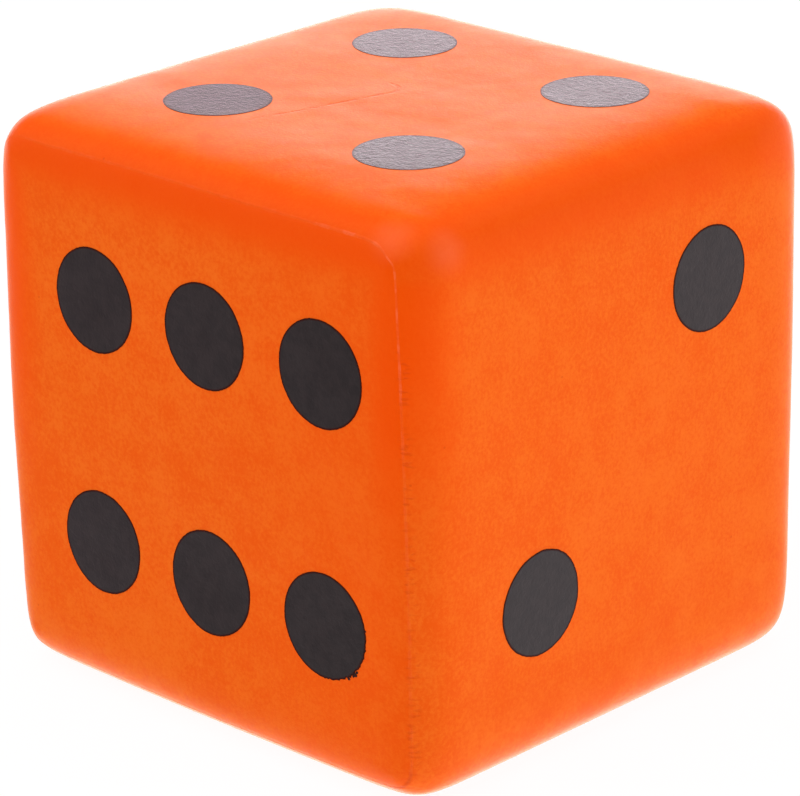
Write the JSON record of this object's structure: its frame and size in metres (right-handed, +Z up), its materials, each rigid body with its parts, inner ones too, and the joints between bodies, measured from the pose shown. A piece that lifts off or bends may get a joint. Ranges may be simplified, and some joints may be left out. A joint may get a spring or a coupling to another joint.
{
  "type": "giant foam yard die",
  "caption": "Large soft foam cube with rounded edges in a moulded two-part coloured skin, with flat round printed pips on every face; a die to throw in yard games.",
  "frame": {"origin": "middle of the base, on the surface that the die rests on", "axes": "+Z up out of the face with four pips; -Y out of the face with six pips, which is the moulding's lid; +X out of the face with two pips"},
  "size_m": [0.2, 0.196, 0.2],
  "materials": {
    "foam": "soft polyurethane foam, sealed inside the skin",
    "skin": "satin orange integral polyurethane skin, fine moulded grain",
    "ink": "black screen ink, finely wrinkled, satin"
  },
  "bodies": {
    "root": {"foam_core": "foam", "skin_tray": "skin", "skin_lid": "skin", "pip_one_centre": "ink", "pip_two_lower_front": "ink", "pip_two_upper_back": "ink", "pip_three_left_back": "ink", "pip_three_centre": "ink", "pip_three_right_front": "ink", "pip_four_left_front": "ink", "pip_four_right_front": "ink", "pip_four_left_back": "ink", "pip_four_right_back": "ink", "pip_five_lower_back": "ink", "pip_five_lower_front": "ink", "pip_five_centre": "ink", "pip_five_upper_back": "ink", "pip_five_upper_front": "ink", "pip_six_lower_left": "ink", "pip_six_lower_middle": "ink", "pip_six_lower_right": "ink", "pip_six_upper_left": "ink", "pip_six_upper_middle": "ink", "pip_six_upper_right": "ink"}
  },
  "joints": []
}
